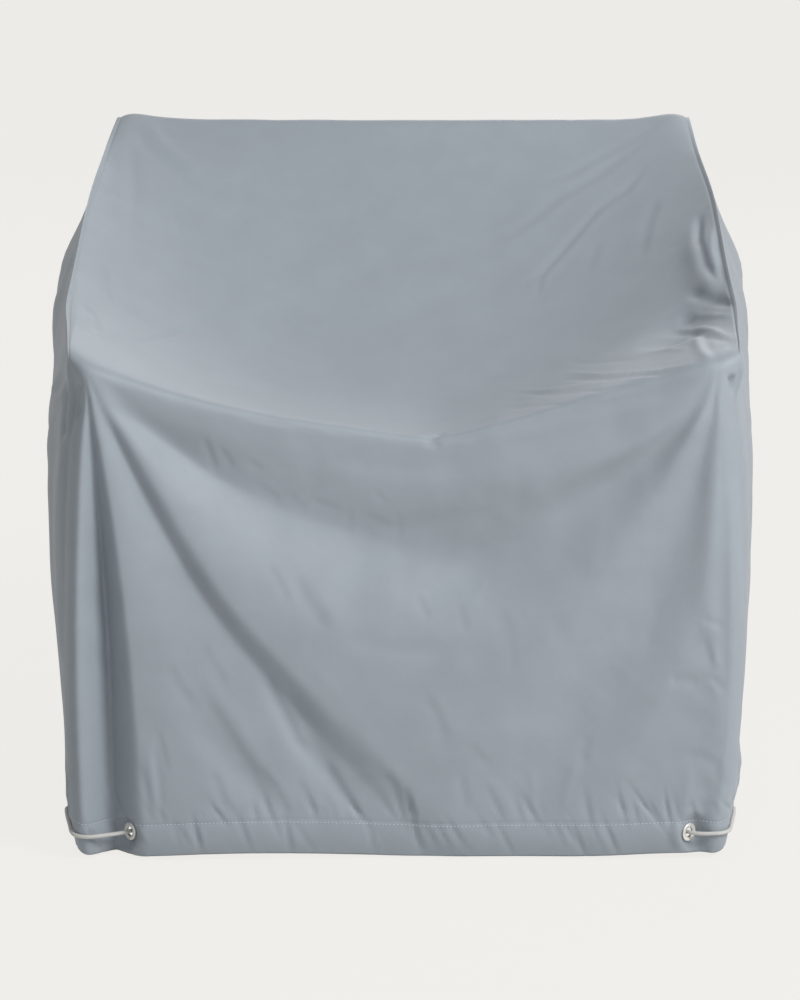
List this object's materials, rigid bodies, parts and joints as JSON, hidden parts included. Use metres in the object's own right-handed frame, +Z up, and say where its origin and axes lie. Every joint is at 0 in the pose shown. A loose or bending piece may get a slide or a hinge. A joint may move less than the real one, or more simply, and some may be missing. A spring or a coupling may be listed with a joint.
{
  "type": "patio chair cover",
  "caption": "Fitted fabric cover draped over a lounge chair: hollow seat, upright back, seams along the arms, and a draw cord through metal eyelets at the front corners of its hem.",
  "frame": {"origin": "under the cloth at the middle of the top edge of the back, where the chair's back holds the cover up", "axes": "+X across the cover to the viewer's right, +Y from the front hem to the back, +Z up"},
  "size_m": [1.0333, 0.834, 0.9233],
  "materials": {
    "coated_weave": "grey-blue coated polyester weave with a soft satin sheen",
    "eyelet_metal": "cream-white lacquered metal, satin",
    "cord_braid": "light grey braided cord"
  },
  "bodies": {
    "root": {"main_panel": "coated_weave", "side_panel_left": "coated_weave", "side_panel_right": "coated_weave", "eyelet_front_left": "eyelet_metal", "eyelet_front_right": "eyelet_metal", "eyelet_side_left": "eyelet_metal", "eyelet_side_right": "eyelet_metal", "draw_cord_left": "cord_braid", "draw_cord_right": "cord_braid"}
  },
  "joints": []
}
